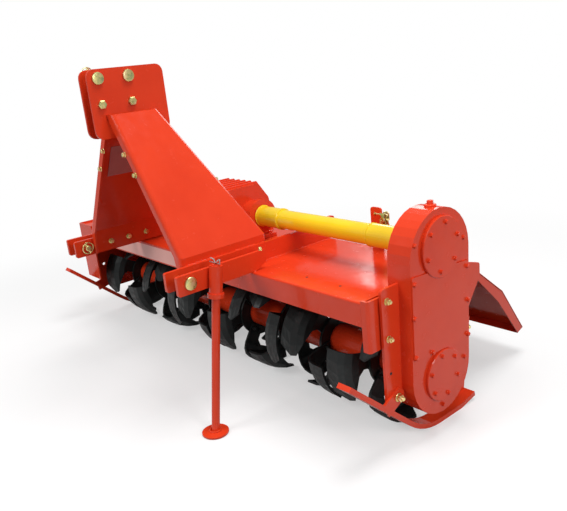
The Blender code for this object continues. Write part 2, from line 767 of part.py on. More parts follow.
def arm_section(front, rear, face_x, z, inward):
    """A channel section in the level plane at z: the main face at face_x, flanges turned towards the middle."""
    deep = face_x - inward
    corners = [(deep, front), (face_x, front), (face_x, rear), (deep, rear)]
    outside = rounded(corners, [0, ARM_BEND, ARM_BEND, 0])
    thick = ARM_THICK
    inside = rounded(
        [
            (deep, rear - thick),
            (face_x - thick * 1.25, rear - thick),
            (face_x - thick * 1.25, front + thick),
            (deep, front + thick),
        ],
        [0, ARM_BEND - thick, ARM_BEND - thick, 0],
    )
    return [Vector((x, y, z)) for x, y in outside + inside]


def build_arm(side, sign):
    foot_x = LONG_BAR_IN_X - SEAT
    sections = [
        arm_section(*ARM_TOP_YS[side], ARM_TOP_X, ARM_TOP_Z, ARM_FLANGE),
        arm_section(*ARM_LOW_YS, foot_x, ARM_LOW_Z, ARM_FLANGE),
        arm_section(*ARM_LOW_YS, foot_x, ARM_FOOT_Z, ARM_FLANGE * 0.55),
    ]
    shape = bmesh.new()
    rings = [[shape.verts.new((sign * p.x, p.y, p.z)) for p in section] for section in sections]
    count = len(rings[0])
    for low, high in zip(rings, rings[1:]):
        for i in range(count):
            j = (i + 1) % count
            shape.faces.new((low[i], low[j], high[j], high[i]))
    shape.faces.new(rings[0][::-1])
    shape.faces.new(rings[-1])
    bmesh.ops.recalc_face_normals(shape, faces=shape.faces)
    mesh = bpy.data.meshes.new("arm")
    shape.to_mesh(mesh)
    shape.free()
    arm = new_object(f"mast_arm_{side}", mesh, PAINT_SKIN)
    low, high = span(sign, -0.05, MAST_OUT_X + SEAT)
    room = [(-0.60, MAST_LOW_Z - 0.30), (-0.10, MAST_LOW_Z - 0.30), (-0.10, 1.2), (-0.60, 1.2)]
    cut(arm, prism("room", room, "X", low, high, PAINT_SKIN))


# Parking stand


def leaning(outline, low, high):
    """A round prism along the stand's axis, measured up from the socket's top."""
    mesh = prism_mesh(outline, "Z", low, high)
    mesh.transform(Matrix.Translation(STAND_TOP) @ Matrix.Rotation(-STAND_LEAN, 4, "X"))
    return mesh


def build_stand():
    length = STAND_SOCKET_LENGTH
    barrel = new_object("stand_socket", leaning(circle((0, 0), STAND_SOCKET_R, 24), -length, 0), PAINT_SKIN)
    collar = leaning(circle((0, 0), STAND_COLLAR_R, 24), -length - STAND_COLLAR_HEIGHT, -length + 0.002)
    fuse(barrel, new_object("collar", collar, PAINT_SKIN))
    bore = leaning(circle((0, 0), STAND_LEG_R + RUNNING, 24), -length - 0.05, 0.05)
    cut(barrel, new_object("bore", bore, PAINT_SKIN))
    bar_side = [
        (OUTER_BAR_OUT_X + SEAT - 0.05, STAND_TOP_Y - 0.1),
        (OUTER_BAR_OUT_X + SEAT, STAND_TOP_Y - 0.1),
        (OUTER_BAR_OUT_X + SEAT, STAND_TOP_Y + 0.1),
        (OUTER_BAR_OUT_X + SEAT - 0.05, STAND_TOP_Y + 0.1),
    ]
    cut(barrel, prism("bar_side", bar_side, "Z", BAR_LOW_Z - 0.001, STAND_TOP_Z + 0.05, PAINT_SKIN))
    drop = (STAND_TOP_Z - STAND_FOOT_THICK / 2) / cos(STAND_LEAN)
    leg_mesh = leaning(circle((0, 0), STAND_LEG_R, SMALL_ROUND), -drop, 0.004)
    leg = new_object("parking_stand", leg_mesh, PAINT_SKIN, pivot=STAND_TOP)
    foot_y = STAND_TOP_Y - (STAND_TOP_Z / cos(STAND_LEAN)) * sin(STAND_LEAN)
    disc = turned(
        "foot",
        [
            (0.0, STAND_FOOT_R - 0.002),
            (0.002, STAND_FOOT_R),
            (STAND_FOOT_THICK - 0.003, STAND_FOOT_R),
            (STAND_FOOT_THICK, STAND_LEG_R + 0.004),
        ],
        "Z",
        (STAND_X, foot_y),
        PAINT_SKIN,
    )
    fuse(leg, disc)


# Skids


def skid_path():
    """The underside, from the raised tip down to the toe and level to the heel."""
    toe = Vector((SKID_TOE_Y, 0.0))
    tip = Vector(SKID_TIP)
    ramp = (tip - toe).normalized()
    half = ramp.angle(Vector((1, 0))) / 2
    middle = toe + (ramp + Vector((1, 0))).normalized() * (SKID_TOE_R / sin(half))
    first = toe + ramp * (SKID_TOE_R / sin(half)) * cos(half) - middle
    turn = pi - 2 * half
    bend = [tuple(middle + Matrix.Rotation(turn * i / 6, 2) @ first) for i in range(7)]
    return [SKID_TIP] + bend + [(SKID_HEEL[0] - 0.070, 0.0), SKID_HEEL]


def ramp_height(y):
    """The height of the ramp's underside at this Y."""
    share = (SKID_TOE_Y - y) / (SKID_TOE_Y - SKID_TIP[0])
    return SKID_TIP[1] * share


def build_skid(side, low, high, front_span, rear_span, leg_top):
    """Spans are low and high X: the runner's, the front leg's and the rear leg's."""
    runner = prism(f"skid_{side}", sheet(skid_path(), SKID_THICK), "X", low, high, PAINT_SKIN)
    foot_z = ramp_height(LEG_FOOT_Y) + 0.004
    lean = atan2(leg_top[1] - foot_z, leg_top[0] - LEG_FOOT_Y)
    across = Vector((-sin(lean), cos(lean))) * LEG_WIDTH / 2
    foot = Vector((LEG_FOOT_Y, foot_z))
    head = Vector(leg_top)
    along = (head - foot).normalized()
    front_leg = [
        tuple(foot - across),
        tuple(head - across + along * 0.012),
        tuple(head + along * 0.024),
        tuple(head + across + along * 0.012),
        tuple(foot + across),
    ]
    half = REAR_LEG_WIDTH / 2
    rear_leg = [
        (REAR_LEG_Y - half, SKID_THICK + 0.002),
        (REAR_LEG_Y + half, SKID_THICK + 0.002),
        (REAR_LEG_TOP[0] + half, REAR_LEG_TOP[1]),
        (REAR_LEG_TOP[0] - half, REAR_LEG_TOP[1]),
    ]
    legs = [
        prism("front_leg", front_leg, "X", *front_span, PAINT_SKIN),
        prism("rear_leg", rear_leg, "X", *rear_span, PAINT_SKIN),
    ]
    return fuse(runner, *legs)


def build_skids():
    out = RIGHT_SKID_OUT_X
    on_strip = (STRIP_OUT_X + SEAT, STRIP_OUT_X + LEG_THICK)
    on_plate = (RIGHT_PLATE_OUT_X + SEAT, RIGHT_PLATE_OUT_X + LEG_THICK)
    build_skid("right", out - SKID_WIDTH, out, on_strip, on_plate, RIGHT_LEG_TOP)
    on_left = (LEFT_X - LEG_THICK, LEFT_X - SEAT)
    build_skid("left", LEFT_SKID_IN_X - SKID_WIDTH, LEFT_SKID_IN_X, on_left, on_left, LEFT_LEG_TOP)


# Tailgate


def build_tailgate():
    hinge = Vector((HINGE_Y, HINGE_Z))
    start = hinge + (Vector(GATE_KINK) - hinge).normalized() * (HINGE_ROD_R + 0.0035)
    outline = sheet([tuple(start), GATE_KINK, GATE_TIP], -GATE_THICK)
    low = LEFT_X + PLATE_THICK + GATE_SIDE_GAP
    high = RIGHT_PLATE_IN_X - GATE_SIDE_GAP
    gate = prism("tailgate", outline, "X", low, high, PAINT_SKIN, pivot=HINGE_AXIS)
    lugs = []
    for x in LUG_XS:
        lug = circle((HINGE_Y, HINGE_Z), LUG_R, SMALL_ROUND)
        lugs.append(prism("lug", lug, "X", x - LUG_THICK / 2, x + LUG_THICK / 2, PAINT_SKIN))
    fuse(gate, *lugs)
    cut(gate, rod_hole("X", (HINGE_Y, HINGE_Z), HINGE_ROD_R + RUNNING, low - 0.01, high + 0.01))
    ends = (LEFT_X + PLATE_THICK + SEAT, RIGHT_PLATE_IN_X - SEAT)
    rod = [(ends[0], HINGE_ROD_R), (ends[1], HINGE_ROD_R)]
    turned("hinge_rod", rod, "X", (HINGE_Y, HINGE_Z), STEEL_SKIN, SMALL_ROUND)


def build_chain_side(side, middle):
    half = BRACKET_WIDTH / 2
    low = DECK_TOP_Z + SEAT
    left, right = middle - half, middle + half
    corners = [(low, left), (BRACKET_TOP_Z, left), (BRACKET_TOP_Z, right), (low, right)]
    upright = rounded(corners, [0, 0.010, 0.010, 0])
    prism(f"chain_bracket_{side}", upright, "Y", BRACKET_Y, BRACKET_Y + BRACKET_THICK, PAINT_SKIN)
    near, far = right + SEAT, right + SEAT + CHAIN_WIDTH
    top = BRACKET_TOP_Z - 0.012
    bottom = top - CHAIN_LENGTH
    strand = rounded([(bottom, near), (bottom, far), (top, far), (top, near)], 0.004)
    prism(f"chain_{side}", strand, "Y", BRACKET_Y - 0.005, BRACKET_Y + 0.011, ZINC_SKIN)


def settle_origin():
    """Moves the root so that the origin is the bottom centre of the machine."""
    bpy.context.view_layer.update()
    graph = bpy.context.evaluated_depsgraph_get()
    corners = []
    for item in ROOT.children:
        if item.hide_render or item.type != "MESH":
            continue
        done = item.evaluated_get(graph)
        corners += [done.matrix_world @ Vector(corner) for corner in done.bound_box]
    for axis in (0, 1):
        reach = [corner[axis] for corner in corners]
        ROOT.location[axis] = -(min(reach) + max(reach)) / 2


clear_scene()
ROOT = bpy.data.objects.new("rotary_tiller", None)
bpy.context.scene.collection.objects.link(ROOT)
PAINT_SKIN = material("red_paint", PAINT, 0.32)
BLADE_SKIN = material("black_tine", BLACK, 0.5)
YELLOW_SKIN = material("yellow_guard", YELLOW, 0.25)
ZINC_SKIN = material("zinc_plate", ZINC, 0.35, 1.0)
STEEL_SKIN = material("bare_steel", (0.5, 0.5, 0.5), 0.35, 1.0)

build_rotor()
build_beam_and_deck()
build_left_end()
build_right_end()
build_gearcase()
build_gearbox()
build_drive_tube()
both_sides(build_hitch_side)
build_mast()
both_sides(build_arm)
build_stand()
build_skids()
build_tailgate()
for side_word, bracket_x in zip(("right", "left"), BRACKET_XS):
    build_chain_side(side_word, bracket_x)
settle_origin()
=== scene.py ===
"""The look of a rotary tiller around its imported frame: paint, fasteners, fittings, studio and camera."""

import json
from math import cos, pi, radians, sin

import bmesh
import bpy
from mathutils import Matrix, Vector


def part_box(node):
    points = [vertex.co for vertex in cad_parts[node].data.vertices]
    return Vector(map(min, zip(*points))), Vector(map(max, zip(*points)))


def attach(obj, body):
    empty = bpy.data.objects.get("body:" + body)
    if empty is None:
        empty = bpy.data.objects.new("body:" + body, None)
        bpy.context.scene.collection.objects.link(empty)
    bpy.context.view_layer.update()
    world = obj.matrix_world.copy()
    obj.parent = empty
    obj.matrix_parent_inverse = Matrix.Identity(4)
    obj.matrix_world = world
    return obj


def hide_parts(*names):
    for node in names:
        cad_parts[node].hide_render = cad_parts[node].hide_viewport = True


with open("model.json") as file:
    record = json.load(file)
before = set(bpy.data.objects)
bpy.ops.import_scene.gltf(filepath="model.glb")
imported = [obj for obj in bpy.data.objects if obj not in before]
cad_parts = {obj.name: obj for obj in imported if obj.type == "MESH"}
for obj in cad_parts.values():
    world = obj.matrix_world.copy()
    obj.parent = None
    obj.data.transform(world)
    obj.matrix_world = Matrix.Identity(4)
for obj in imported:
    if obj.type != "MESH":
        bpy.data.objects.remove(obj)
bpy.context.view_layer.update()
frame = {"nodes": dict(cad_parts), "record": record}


# Places, in metres, from the frame


def low(node):
    return Vector(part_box(node)[0])


def high(node):
    return Vector(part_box(node)[1])


def middle(node):
    return (low(node) + high(node)) / 2


HITCH_X = (low("mast_plate_left").x + high("mast_plate_right").x) / 2
ROTOR = Vector((HITCH_X, middle("rotor_shaft").y, middle("rotor_shaft").z))
DRIVE = Vector((HITCH_X, middle("upper_bearing_cap").y, middle("upper_bearing_cap").z))
DECK_TOP = high("front_beam").z
BEAM_FRONT = low("front_beam").y

# Camera: where it stands from the rotor's middle, how it is turned, and its lens
CAMERA_OFFSET = Vector((1.9740, -1.3679, 1.0776))
CAMERA_TURN = radians(51.16)
CAMERA_DOWN = radians(16.55)
CAMERA_ROLL = radians(-6.04)
SENSOR = 36.0
LENS = 41.2


def add_camera():
    data = bpy.data.cameras.new("camera")
    data.sensor_width = SENSOR
    data.lens = LENS
    made = bpy.data.objects.new("camera", data)
    bpy.context.scene.collection.objects.link(made)
    ahead = Vector(
        (-sin(CAMERA_TURN) * cos(CAMERA_DOWN), cos(CAMERA_TURN) * cos(CAMERA_DOWN), -sin(CAMERA_DOWN))
    )
    level = ahead.cross(Vector((0, 0, 1))).normalized()
    upright = level.cross(ahead)
    right = level * cos(CAMERA_ROLL) + upright * sin(CAMERA_ROLL)
    up = upright * cos(CAMERA_ROLL) - level * sin(CAMERA_ROLL)
    turn = Matrix((right, up, -ahead)).transposed().to_4x4()
    place = Vector((HITCH_X, ROTOR.y, 0)) + CAMERA_OFFSET
    made.matrix_world = Matrix.Translation(place) @ turn
    bpy.context.scene.camera = made


# Materials


class Look:
    """A Principled material with short helpers for its nodes."""

    def __init__(self, name, colour, roughness, metallic=0.0, **sockets):
        self.made = bpy.data.materials.new(name)
        self.made.use_nodes = True
        self.tree = self.made.node_tree
        self.shader = self.tree.nodes["Principled BSDF"]
        self.set("Base Color", (*colour, 1.0))
        self.set("Roughness", roughness)
        self.set("Metallic", metallic)
        for socket, value in sockets.items():
            self.set(socket.replace("_", " "), value)
        self.place = self.node("ShaderNodeTexCoord").outputs["Object"]

    def set(self, socket, value):
        self.shader.inputs[socket].default_value = value

    def node(self, kind, **values):
        made = self.tree.nodes.new(kind)
        for key, value in values.items():
            if hasattr(made, key):
                setattr(made, key, value)
            else:
                made.inputs[key.replace("_", " ")].default_value = value
        return made

    def link(self, output, target):
        self.tree.links.new(output, target)

    def drive(self, socket, output):
        self.link(output, self.shader.inputs[socket])

    def noise(self, scale, detail=3.0, roughness=0.5, stretch=None):
        made = self.node("ShaderNodeTexNoise", Scale=scale, Detail=detail, Roughness=roughness)
        source = self.place
        if stretch:
            mapping = self.node("ShaderNodeMapping")
            mapping.inputs["Scale"].default_value = stretch
            self.link(source, mapping.inputs["Vector"])
            source = mapping.outputs["Vector"]
        self.link(source, made.inputs["Vector"])
        return made.outputs["Fac"]

    def ramp(self, value, stops):
        """Colours by value: stops are (position, colour) pairs."""
        made = self.node("ShaderNodeValToRGB")
        points = made.color_ramp.elements
        while len(points) < len(stops):
            points.new(0.5)
        for point, (position, colour) in zip(points, stops):
            point.position = position
            point.color = (*colour, 1.0)
        self.link(value, made.inputs["Fac"])
        return made.outputs["Color"]

    def span(self, value, lowest, highest, start=0.3, end=0.7):
        made = self.node("ShaderNodeMapRange")
        made.inputs["From Min"].default_value = start
        made.inputs["From Max"].default_value = end
        made.inputs["To Min"].default_value = lowest
        made.inputs["To Max"].default_value = highest
        self.link(value, made.inputs["Value"])
        return made.outputs["Result"]

    def bump(self, height, strength, distance):
        made = self.node("ShaderNodeBump", Strength=strength, Distance=distance)
        self.link(height, made.inputs["Height"])
        if self.shader.inputs["Normal"].links:
            self.link(self.shader.inputs["Normal"].links[0].from_socket, made.inputs["Normal"])
        self.drive("Normal", made.outputs["Normal"])


def paint(name, colour, darker, roughness, gloss=0.22):
    """Glossy enamel: a little orange peel, faint cloudy tone and slightly uneven gloss."""
    look = Look(name, colour, roughness, Specular_IOR_Level=gloss, Coat_Weight=0.10, Coat_Roughness=0.06)
    cloud = look.noise(5.0, 4.0, 0.6)
    look.drive("Base Color", look.ramp(cloud, [(0.30, darker), (0.62, colour)]))
    uneven = look.span(look.noise(38.0, 3.0), roughness - 0.06, roughness + 0.10)
    look.drive("Roughness", uneven)
    look.bump(look.noise(420.0, 2.0), 0.10, 0.0004)
    look.bump(look.noise(28.0, 2.0), 0.12, 0.0012)
    return look.made


def blade_paint(name):
    """Thin black dip paint over forged blades: blotchy, half matt, rubbed grey in places."""
    look = Look(name, (0.008, 0.010, 0.010), 0.36, Specular_IOR_Level=0.30)
    blotch = look.noise(22.0, 6.0, 0.65)
    tones = [(0.30, (0.004, 0.006, 0.006)), (0.60, (0.010, 0.013, 0.013)), (0.80, (0.035, 0.037, 0.036))]
    look.drive("Base Color", look.ramp(blotch, tones))
    look.drive("Roughness", look.span(look.noise(60.0, 4.0), 0.32, 0.58))
    look.bump(look.noise(160.0, 4.0), 0.25, 0.0008)
    return look.made


def zinc(name):
    """Yellow-passivated zinc: bright metal that drifts between straw, green and pink."""
    look = Look(name, (0.66, 0.60, 0.26), 0.30, 1.0)
    drift = look.noise(45.0, 3.0, 0.6)
    tones = [(0.32, (0.50, 0.55, 0.26)), (0.50, (0.70, 0.63, 0.25)), (0.68, (0.74, 0.55, 0.33))]
    look.drive("Base Color", look.ramp(drift, tones))
    look.drive("Roughness", look.span(look.noise(90.0, 3.0), 0.22, 0.42))
    look.bump(look.noise(700.0, 2.0), 0.12, 0.0003)
    return look.made


def steel(name):
    """Bare turned steel with fine rings of tool marks and a film of oil."""
    look = Look(name, (0.55, 0.55, 0.54), 0.30, 1.0)
    marks = look.noise(30.0, 5.0, 0.7, stretch=(1.0, 60.0, 1.0))
    tones = [(0.3, (0.38, 0.38, 0.37)), (0.7, (0.62, 0.62, 0.60))]
    look.drive("Base Color", look.ramp(marks, tones))
    look.drive("Roughness", look.span(marks, 0.22, 0.45))
    look.bump(marks, 0.2, 0.0003)
    return look.made


def plain_label(name, colour, tint):
    """A blank pale label film with faint mottling."""
    look = Look(name, colour, 0.34, Coat_Weight=0.2, Coat_Roughness=0.1)
    mottle = look.noise(14.0, 4.0)
    look.drive("Base Color", look.ramp(mottle, [(0.25, tint), (0.65, colour)]))
    look.bump(look.noise(300.0, 2.0), 0.08, 0.0003)
    return look.made


RED = paint("red_paint", (0.76, 0.052, 0.014), (0.70, 0.043, 0.011), 0.18)
YELLOW = paint("yellow_guard", (0.88, 0.63, 0.016), (0.82, 0.55, 0.014), 0.14, 0.5)
BLACK = blade_paint("black_blade")
ZINC = zinc("zinc_plate")
STEEL = steel("bare_steel")
LABEL = plain_label("blank_label", (0.86, 0.42, 0.36), (0.80, 0.36, 0.31))
PALE_LABEL = plain_label("pale_label", (0.47, 0.19, 0.18), (0.41, 0.15, 0.15))

LOOKS = {
    "red_paint": RED,
    "black_tine": BLACK,
    "yellow_guard": YELLOW,
    "zinc_plate": ZINC,
    "bare_steel": STEEL,
}
EDGE = 0.0016  # how far the CAD nodes' edges are rounded
TINE_EDGE = 0.0012


def dress_frame():
    """Every CAD node gets its finished material and softly rounded edges."""
    slots = {row["node"]: row["material_slot"] for row in frame["record"]["subparts"]}
    for node, item in frame["nodes"].items():
        item.data.materials.clear()
        item.data.materials.append(LOOKS[slots[node]])
        soft = item.modifiers.new("edges", "BEVEL")
        soft.width = TINE_EDGE if node.startswith("tine_set") else EDGE
        soft.segments = 2
        soft.limit_method = "ANGLE"
        soft.angle_limit = radians(40)
        soft.harden_normals = True
        item.data.shade_smooth()


# Shapes


class Shape:
    """Gathers turned, bent and cut metal shapes into one mesh, in the row frame."""

    def __init__(self):
        self.mesh = bmesh.new()

    def skin(self, rings, closed=False):
        """Joins rings of points into a tube, capped unless it closes on itself."""
        made = [[self.mesh.verts.new(point) for point in ring] for ring in rings]
        pairs = list(zip(made, made[1:])) + ([(made[-1], made[0])] if closed else [])
        for near, far in pairs:
            for i in range(len(near)):
                j = (i + 1) % len(near)
                self.mesh.faces.new((near[i], near[j], far[j], far[i]))
        if not closed:
            self.mesh.faces.new(made[0][::-1])
            self.mesh.faces.new(made[-1])

    def turned(self, place, axis, profile, sides=24):
        """A turned solid: (distance along the axis, radius) pairs from the place."""
        turn = Vector(axis).to_track_quat("Z", "Y").to_matrix()
        angles = [2 * pi * i / sides for i in range(sides)]
        rings = []
        for along, radius in profile:
            ring = [turn @ Vector((radius * cos(a), radius * sin(a), along)) for a in angles]
            rings.append([Vector(place) + point for point in ring])
        self.skin(rings)

    def bolt(self, place, axis, across, washer=True, height=0.58):
        """A hex head with a chamfered crown, on a washer. Its height is a share of its width."""
        rise = 0.0
        if washer:
            rise = across * 0.12
            wide = across * 0.68
            self.turned(place, axis, [(0, wide), (rise * 0.7, wide), (rise, wide - rise * 0.3)])
        tall = rise + across * height
        corner = across * 0.577
        head = [(rise, corner), (tall - across * 0.07, corner), (tall, corner * 0.86)]
        self.turned(place, axis, head, 6)
        crown = [(tall - 0.0005, corner * 0.66), (tall + across * 0.03, corner * 0.60)]
        self.turned(place, axis, crown)

    def nut(self, place, axis, across):
        """A nut on a washer, with the bolt's end through it."""
        self.bolt(place, axis, across)
        end = across * 0.32
        self.turned(place, axis, [(0, end), (across * 0.98, end), (across * 1.05, end * 0.8)], 16)

    def tube(self, points, radius, sides=8, closed=False):
        """A round wire or bead through the points. The radius may be a function of the point's number."""
        points = [Vector(point) for point in points]
        count = len(points)
        angles = [2 * pi * k / sides for k in range(sides)]
        rings = []
        side = None
        for i, point in enumerate(points):
            before = points[i - 1] if i or closed else point
            after = points[(i + 1) % count] if i < count - 1 or closed else point
            along = (after - before).normalized()
            if side is None:
                side = along.orthogonal().normalized()
            side = (side - along * side.dot(along)).normalized()
            other = along.cross(side)
            size = radius(i) if callable(radius) else radius
            rings.append([point + (side * cos(a) + other * sin(a)) * size for a in angles])
        self.skin(rings, closed)

    def weld(self, start, end, radius):
        """A stacked weld bead between two points, rippled along its length."""
        start, end = Vector(start), Vector(end)
        steps = max(6, int((end - start).length / WELD_RIPPLE * 4))
        points = [start.lerp(end, i / steps) for i in range(steps + 1)]

        def thickness(i):
            ripple = 0.86 + 0.16 * sin(i * pi / 2)
            return radius * ripple * (0.3 if i in (0, steps) else 1)

        self.tube(points, thickness)

    def plate(self, outline, axis, near, far):
        """A flat piece: its outline of (a, b) points across the axis, from near to far."""
        order = {"X": (1, 2, 0), "Y": (0, 2, 1), "Z": (0, 1, 2)}[axis]
        rings = []
        for distance in (near, far):
            ring = []
            for a, b in outline:
                point = [0.0, 0.0, 0.0]
                point[order[0]], point[order[1]], point[order[2]] = a, b, distance
                ring.append(Vector(point))
            rings.append(ring)
        self.skin(rings)

    def piece(self, name, body, look, sharp=35.0, replaced=()):
        bmesh.ops.recalc_face_normals(self.mesh, faces=self.mesh.faces)
        mesh = bpy.data.meshes.new(name)
        self.mesh.to_mesh(mesh)
        self.mesh.free()
        mesh.materials.append(look)
        mesh.shade_smooth()
        mesh.set_sharp_from_angle(angle=radians(sharp))
        made = bpy.data.objects.new(name, mesh)
        bpy.context.scene.collection.objects.link(made)
        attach(made, body)
        if replaced:
            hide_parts(*replaced)
        return made


def soften(made, width, segments):
    """Rounds a piece's edges."""
    soft = made.modifiers.new("edges", "BEVEL")
    soft.width = width
    soft.segments = segments


def at(x, y, z):
    """A place measured from the hitch's middle, the rotor's axis and the floor."""
    return Vector((HITCH_X + x, ROTOR.y + y, z))


def around(centre, axis, radius, count, first=0.0):
    """Places spaced round a circle across the axis."""
    turn = Vector(axis).to_track_quat("Z", "Y").to_matrix()
    for i in range(count):
        angle = radians(first) + 2 * pi * i / count
        yield Vector(centre) + turn @ Vector((radius * cos(angle), radius * sin(angle), 0))


LEFT, RIGHT = Vector((-1, 0, 0)), Vector((1, 0, 0))
FORWARD, BACK = Vector((0, -1, 0)), Vector((0, 1, 0))
UP = Vector((0, 0, 1))
WELD_RIPPLE = 0.006

# Bolt heads and nuts, by their width across the flats in millimetres
HEX_10 = 0.010
HEX_11 = 0.011
HEX_13 = 0.013
HEX_15 = 0.015
HEX_16 = 0.016
HEX_17 = 0.017
HEX_19 = 0.019
HEX_25 = 0.025
HEX_26 = 0.026


# Gearcase end


# Screws in the gearcase's outer face, as (y, z) from the rotor's axis and the floor
COVER_SCREWS = (
    (-0.1120, 0.4875), (-0.1180, 0.3930), (-0.1180, 0.2790), (0.1215, 0.4740), (0.1215, 0.3720),
    (0.1165, 0.2670), (-0.0480, 0.2700),
)
CASE_SCREWS = ((0.104, 0.198), (-0.004, 0.088), (0.112, 0.560), (-0.100, 0.590))
CAP_SCREWS = (("upper_bearing_cap", 0.068, 18), ("lower_bearing_cap", 0.062, 40))  # node, circle, first angle
COVER_THICK = 0.004


def dress_gearcase():
    face = high("gearcase_cover").x
    case_face = face - COVER_THICK
    red = Shape()
    for y, z in COVER_SCREWS:
        place = at(0, y, z)
        place.x = face
        red.bolt(place, RIGHT, HEX_11)
    for name, ring, first in CAP_SCREWS:
        centre = middle(name)
        centre.x = high(name).x
        for place in around(centre, RIGHT, ring, 6, first):
            red.bolt(place, RIGHT, HEX_10)
    for y, z in CASE_SCREWS:
        place = at(0, y, z)
        place.x = case_face
        red.bolt(place, RIGHT, HEX_10)
    red.piece("gearcase_screws", "root", RED)
    plug = Shape()
    top = Vector((case_face - 0.034, middle("upper_bearing_cap").y + 0.006, high("gearcase").z))
    plug.turned(top - UP * 0.002, UP, [(0, 0.017), (0.006, 0.017), (0.008, 0.014)])
    plug.bolt(top + UP * 0.006, UP, HEX_17, washer=False)
    plug.piece("filler_plug", "root", RED)


def dress_strip():
    face = high("skid_right").x - 0.0085
    bolts = Shape()
    for z in (0.450, 0.342):
        place = at(0, -0.171, z)
        place.x = face
        bolts.nut(place, RIGHT, HEX_15)
    skid = at(0, -0.156, 0.165)
    skid.x = high("skid_right").x
    bolts.nut(skid, RIGHT, HEX_19)
    left = at(0, -0.165, 0.150)
    left.x = low("left_end_plate").x - 0.008
    bolts.nut(left, LEFT, HEX_19)
    for node, way in (("skid_right", 1), ("skid_left", -1)):
        rear = at(0, 0.214, 0.238)
        rear.x = low("skid_right").x + 0.0098 if way > 0 else left.x
        bolts.nut(rear, RIGHT * way, HEX_16)
    bolts.piece("end_plate_bolts", "root", ZINC)
    # Black discs set flush in the open holes of the strip and along the deck's fold: painted shade for the
    # dark inside the holes.
    hole_shade = Shape()
    spot = at(0, -0.171, 0.240)
    spot.x = face
    hole_shade.turned(spot - RIGHT * 0.002, RIGHT, [(0, 0.0045), (0.0023, 0.0045)])
    fold = at(0, BEAM_FRONT - ROTOR.y + 0.066, DECK_TOP)
    for x in (0.58, 0.72):
        hole_shade.turned(Vector((HITCH_X + x, fold.y, fold.z - 0.002)), UP, [(0, 0.004), (0.0023, 0.004)])
    hole_shade.piece("painted_hole_shade", "root", BLACK)


# Hitch


CLIP_STEPS = 28


def round_pin(shape, centre, reach, radius, head):
    """A pin across the hitch with a domed head towards one end; reach is its low and high X."""
    way = 1 if head > 0 else -1
    near, far = (reach if way > 0 else reach[::-1])
    place = Vector((near, centre.y, centre.z))
    length = abs(far - near)
    big = abs(head)
    profile = [
        (0, radius - 0.002), (0.002, radius), (length - 0.0078, radius), (length - 0.0075, big),
        (length - 0.002, big), (length - 0.0005, big - 0.0012), (length, big * 0.80),
        (length + 0.0006, big * 0.3),
    ]
    shape.turned(place, RIGHT * way, profile, 32)


def ring_clip(shape, centre, size, wire, tilt):
    """A lynch pin: a short peg through the pin's end and its spring ring."""
    turn = Matrix.Rotation(tilt, 3, "X")
    ring = []
    for i in range(CLIP_STEPS):
        angle = 2 * pi * i / CLIP_STEPS
        ring.append(centre + turn @ Vector((0.004 * sin(angle), size * cos(angle), size * sin(angle))))
    shape.tube(ring, wire, closed=True)
    peg = [(0, 0.005), (size * 2, 0.0035)]
    shape.turned(centre + turn @ Vector((0, 0, size)), turn @ Vector((0, 0, -1)), peg, 12)


def dress_hitch():
    for place in ("front", "rear"):
        pin = Shape()
        node = f"top_pin_{place}"
        round_pin(pin, middle(node), (low(node).x, high(node).x), 0.0095, 0.019)
        if place == "front":
            spot = Vector((low(node).x + 0.008, middle(node).y, middle(node).z))
            ring_clip(pin, spot + UP * 0.018, 0.018, 0.0018, radians(-25))
        pin.piece(f"{node}_turned", "root", ZINC, replaced=(node,))
        bolt = Shape()
        node = f"mast_bolt_{place}"
        spot = middle(node)
        spot.x = high(node).x - 0.008
        bolt.bolt(spot, RIGHT, HEX_25, washer=False, height=0.36)
        spot.x = low(node).x + 0.008
        bolt.nut(spot, LEFT, HEX_26)
        span = Vector((low(node).x + 0.006, spot.y, spot.z))
        bolt.turned(span, RIGHT, [(0, 0.0078), (high(node).x - low(node).x - 0.012, 0.0078)])
        bolt.piece(f"{node}_hex", "root", ZINC, replaced=(node,))
    for side, way in (("right", 1), ("left", -1)):
        node = f"lower_hitch_pin_{side}"
        pin = Shape()
        round_pin(pin, middle(node), (low(node).x, high(node).x), 0.011, 0.020 * way)
        inner = low(node).x + 0.009 if way > 0 else high(node).x - 0.009
        ring_clip(pin, Vector((inner, middle(node).y, middle(node).z)), 0.021, 0.002, radians(20))
        pin.piece(f"{node}_turned", "root", ZINC, replaced=(node,))
        small = Shape()
        outer = f"hitch_bar_outer_{side}"
        rear = high(outer)
        end = at(0, -0.186, rear.z)
        end.x = middle(outer).x
        small.turned(end - UP * 0.001, UP, [(0, 0.0055), (0.009, 0.0055), (0.011, 0.004)], 16)
        small.bolt(end, UP, HEX_11)
        arm = f"mast_arm_{side}"
        foot = (high(arm).x if way > 0 else low(arm).x) - way * 0.0087
        for y in (-0.360, -0.285, -0.209):
            spot = at(0, y, 0.492)
            spot.x = foot
            small.bolt(spot, RIGHT * -way, HEX_15)
        small.piece(f"arm_bolts_{side}", "root", ZINC)


ARM_LOW_Z, ARM_TOP_Z = 0.5411, 0.9740
ARM_LOW_X, ARM_TOP_X = 0.3202, 0.0708
ARM_FRONT_LOW_Y = -0.4328
ARM_FRONT_TOP_Y = {"right": -0.4531, "left": -0.4180}
ARM_FRONT_BOLTS = ((0.101, 0.852), (0.144, 0.789))  # (x, z)
ARM_SEAM_Z = 0.517  # the top of the long hitch bars, where the arms are welded on
WELD = 0.0030
ARM_WELD = 0.0026
BAR_WELD = 0.0032
SEAM_WELD = 0.0014


